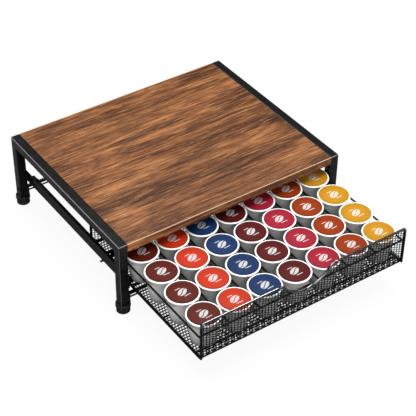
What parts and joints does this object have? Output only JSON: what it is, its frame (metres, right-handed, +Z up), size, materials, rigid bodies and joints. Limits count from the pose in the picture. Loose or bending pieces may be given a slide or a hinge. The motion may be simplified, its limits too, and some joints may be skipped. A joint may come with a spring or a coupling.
{
  "type": "coffee pod drawer",
  "caption": "Low black steel stand with a walnut board on top and a wire mesh drawer, pulled out to the front and filled with rows of coffee pods with coloured foil lids.",
  "frame": {"origin": "on the floor, in the middle of the bounding box with the drawer pulled out as drawn", "axes": "the drawer pulls out towards -Y, +Z is up and +X is to the right as seen from the front"},
  "size_m": [0.4046, 0.5064, 0.1275],
  "materials": {
    "black_steel": "satin powder coat",
    "drawer_wire": "satin enamel",
    "mesh": "satin enamel",
    "wood": "satin lacquer",
    "wood_edge": "satin lacquer",
    "rubber": "matte",
    "screw": "black oxide",
    "cup": "satin",
    "foil_brown": "printed satin foil",
    "foil_orange": "printed satin foil",
    "foil_blue": "printed satin foil",
    "foil_maroon": "printed satin foil",
    "foil_crimson": "printed satin foil",
    "foil_rust": "printed satin foil",
    "foil_amber": "printed satin foil"
  },
  "bodies": {
    "frame": {"board_screws": "screw", "front_edge_band": "wood_edge", "front_left_foot": "rubber", "front_left_leg": "black_steel", "front_right_foot": "rubber", "front_right_leg": "black_steel", "front_stretcher": "black_steel", "front_tie_rod": "black_steel", "left_board_tabs": "black_steel", "left_runner": "black_steel", "left_stop_rod": "black_steel", "left_top_rail": "black_steel", "rear_edge_band": "wood_edge", "rear_left_foot": "rubber", "rear_left_leg": "black_steel", "rear_right_foot": "rubber", "rear_right_leg": "black_steel", "rear_stretcher": "black_steel", "rear_tie_rod": "black_steel", "right_board_tabs": "black_steel", "right_runner": "black_steel", "right_stop_rod": "black_steel", "right_top_rail": "black_steel", "stretcher_end_plates": "black_steel", "stretcher_screws": "screw", "top_board": "wood"},
    "drawer": {"back_base_wire": "drawer_wire", "back_corner_posts": "drawer_wire", "back_mesh": "mesh", "back_rim_wire": "drawer_wire", "divider_wires": "drawer_wire", "floor_cross_wires": "drawer_wire", "floor_mesh": "mesh", "front_base_wire": "drawer_wire", "front_mesh": "mesh", "front_rim_wire": "drawer_wire", "front_top_wire": "drawer_wire", "left_base_wire": "drawer_wire", "left_front_post": "drawer_wire", "left_mesh": "mesh", "left_rim_wire": "drawer_wire", "pod_cups": "cup", "pod_foils_amber": "foil_amber", "pod_foils_blue": "foil_blue", "pod_foils_brown": "foil_brown", "pod_foils_crimson": "foil_crimson", "pod_foils_maroon": "foil_maroon", "pod_foils_orange": "foil_orange", "pod_foils_rust": "foil_rust", "right_base_wire": "drawer_wire", "right_front_post": "drawer_wire", "right_mesh": "mesh", "right_rim_wire": "drawer_wire", "stop_tabs": "drawer_wire"}
  },
  "joints": [
    {"name": "drawer_slide", "type": "slide", "parent": "frame", "child": "drawer", "axis": [0, 1, 0], "range_m": [0, 0.1804]}
  ]
}
